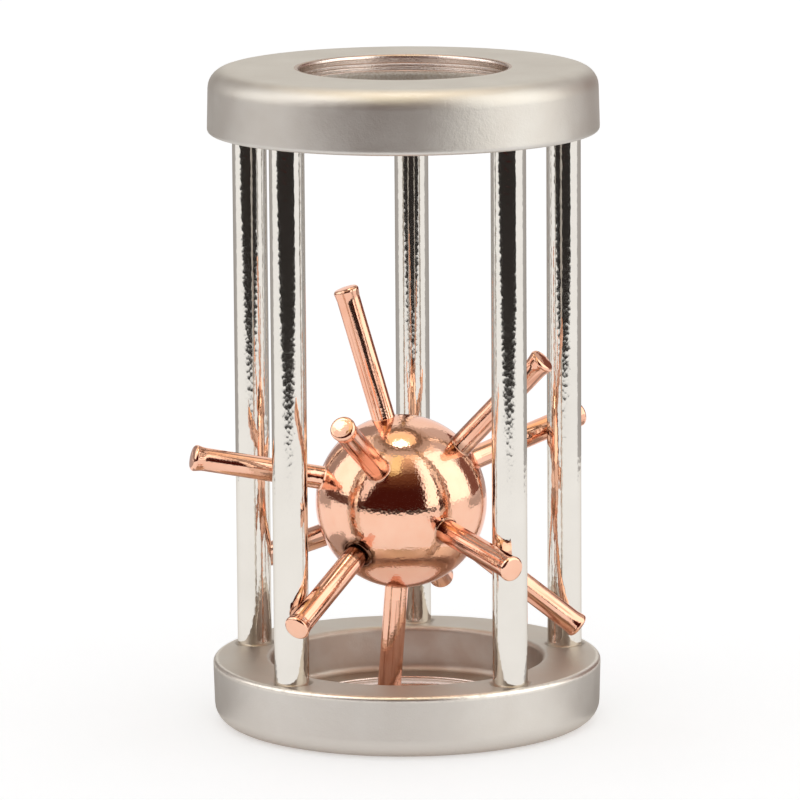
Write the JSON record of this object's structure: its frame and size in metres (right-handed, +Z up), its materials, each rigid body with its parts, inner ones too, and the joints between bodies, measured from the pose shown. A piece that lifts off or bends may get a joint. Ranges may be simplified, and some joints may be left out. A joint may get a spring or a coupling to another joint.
{
  "type": "caged spiked ball puzzle",
  "caption": "Desk puzzle: a copper spiked ball held loose in a cage of thick metal rings joined by upright rods, to be worked out through its gaps.",
  "frame": {"origin": "middle of the base ring's underside, on the plane it stands on", "axes": "+Z up along the cage's axis; -Y towards the widest gap between the rods, which is the front; +X to the right seen from the front"},
  "size_m": [0.047, 0.0454, 0.076],
  "materials": {
    "ring_nickel": "blasted satin nickel plate on a zinc die casting",
    "rod_nickel": "bright nickel plate, slightly rippled",
    "copper": "polished copper plate, slightly rippled"
  },
  "bodies": {
    "cage": {"base_ring": "ring_nickel", "top_ring": "ring_nickel", "post_back": "rod_nickel", "post_back_left": "rod_nickel", "post_back_right": "rod_nickel", "post_front_left": "rod_nickel", "post_front_right": "rod_nickel"},
    "hedgehog": {"ball": "copper", "pin_up_left": "copper", "pin_front_up": "copper", "pin_left": "copper", "pin_front_left_down": "copper", "pin_down": "copper", "pin_front_right_down": "copper", "pin_right_down": "copper", "pin_right_up": "copper", "pin_back_right": "copper", "pin_back_left_down": "copper", "pin_back_down": "copper", "pin_back": "copper"}
  },
  "joints": [
    {"name": "hedgehog_lift", "type": "slide", "parent": "cage", "child": "hedgehog", "axis": [0, 0, 1], "range_m": [0, 0.0238]}
  ]
}
